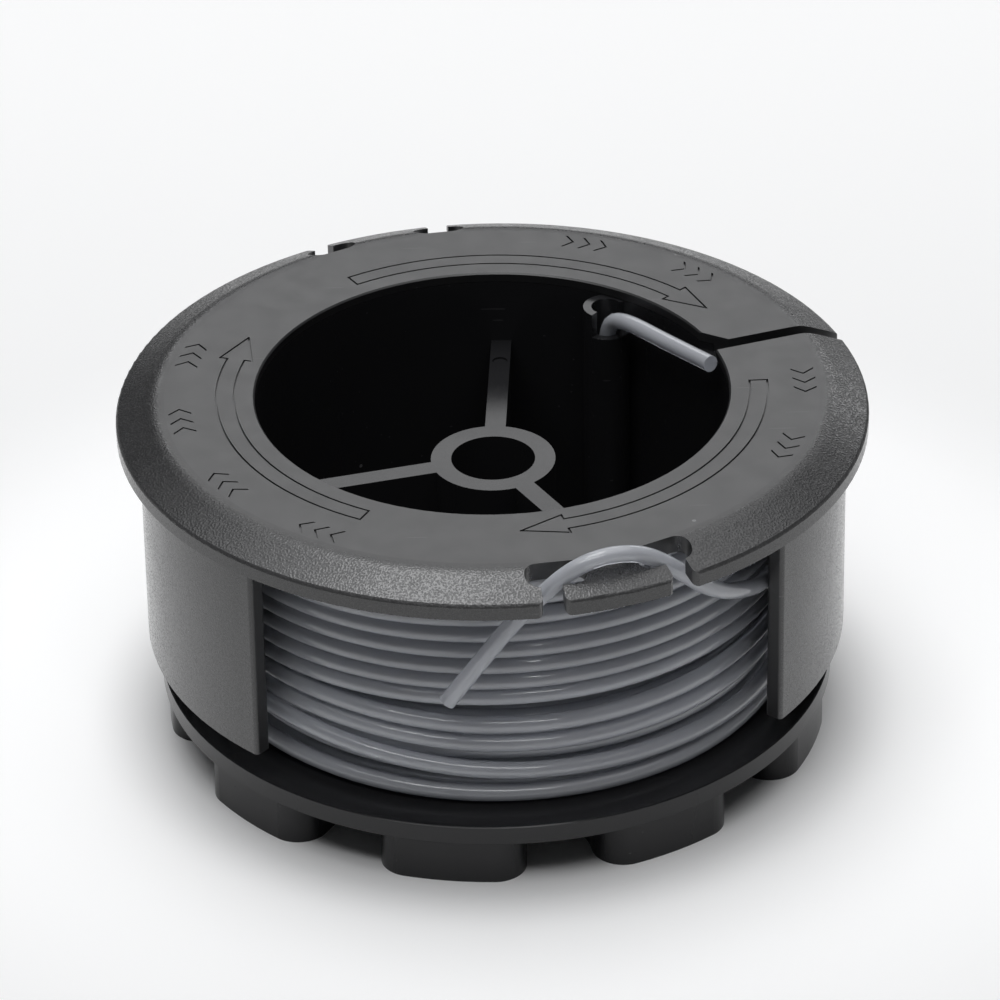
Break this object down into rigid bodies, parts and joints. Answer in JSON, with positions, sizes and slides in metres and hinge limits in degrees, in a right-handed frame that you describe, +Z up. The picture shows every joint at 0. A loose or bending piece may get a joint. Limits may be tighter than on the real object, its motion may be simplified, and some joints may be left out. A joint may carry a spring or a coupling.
{
  "type": "trimmer line spool",
  "caption": "Round plastic spool for a grass trimmer head, with a lobed base, a hollow drum, a skirted upper flange and a winding of nylon line with both ends parked.",
  "frame": {"origin": "on the floor that the lobes stand on, below the spool's axis", "axes": "+Z up along the spool's axis towards the upper flange, -Y towards the side with the parked line, +X to the right seen from that side"},
  "size_m": [0.072, 0.072, 0.0369],
  "materials": {
    "flange_plastic": "satin on the flat, fine spark grain on the sloped edge and the skirts",
    "base_plastic": "smooth moulded black",
    "nylon_line": "translucent grey nylon monofilament"
  },
  "bodies": {
    "root": {"upper_flange": "flange_plastic", "drum_base": "base_plastic", "line_winding": "nylon_line", "line_inner_end": "nylon_line", "line_outer_end": "nylon_line"}
  },
  "joints": []
}
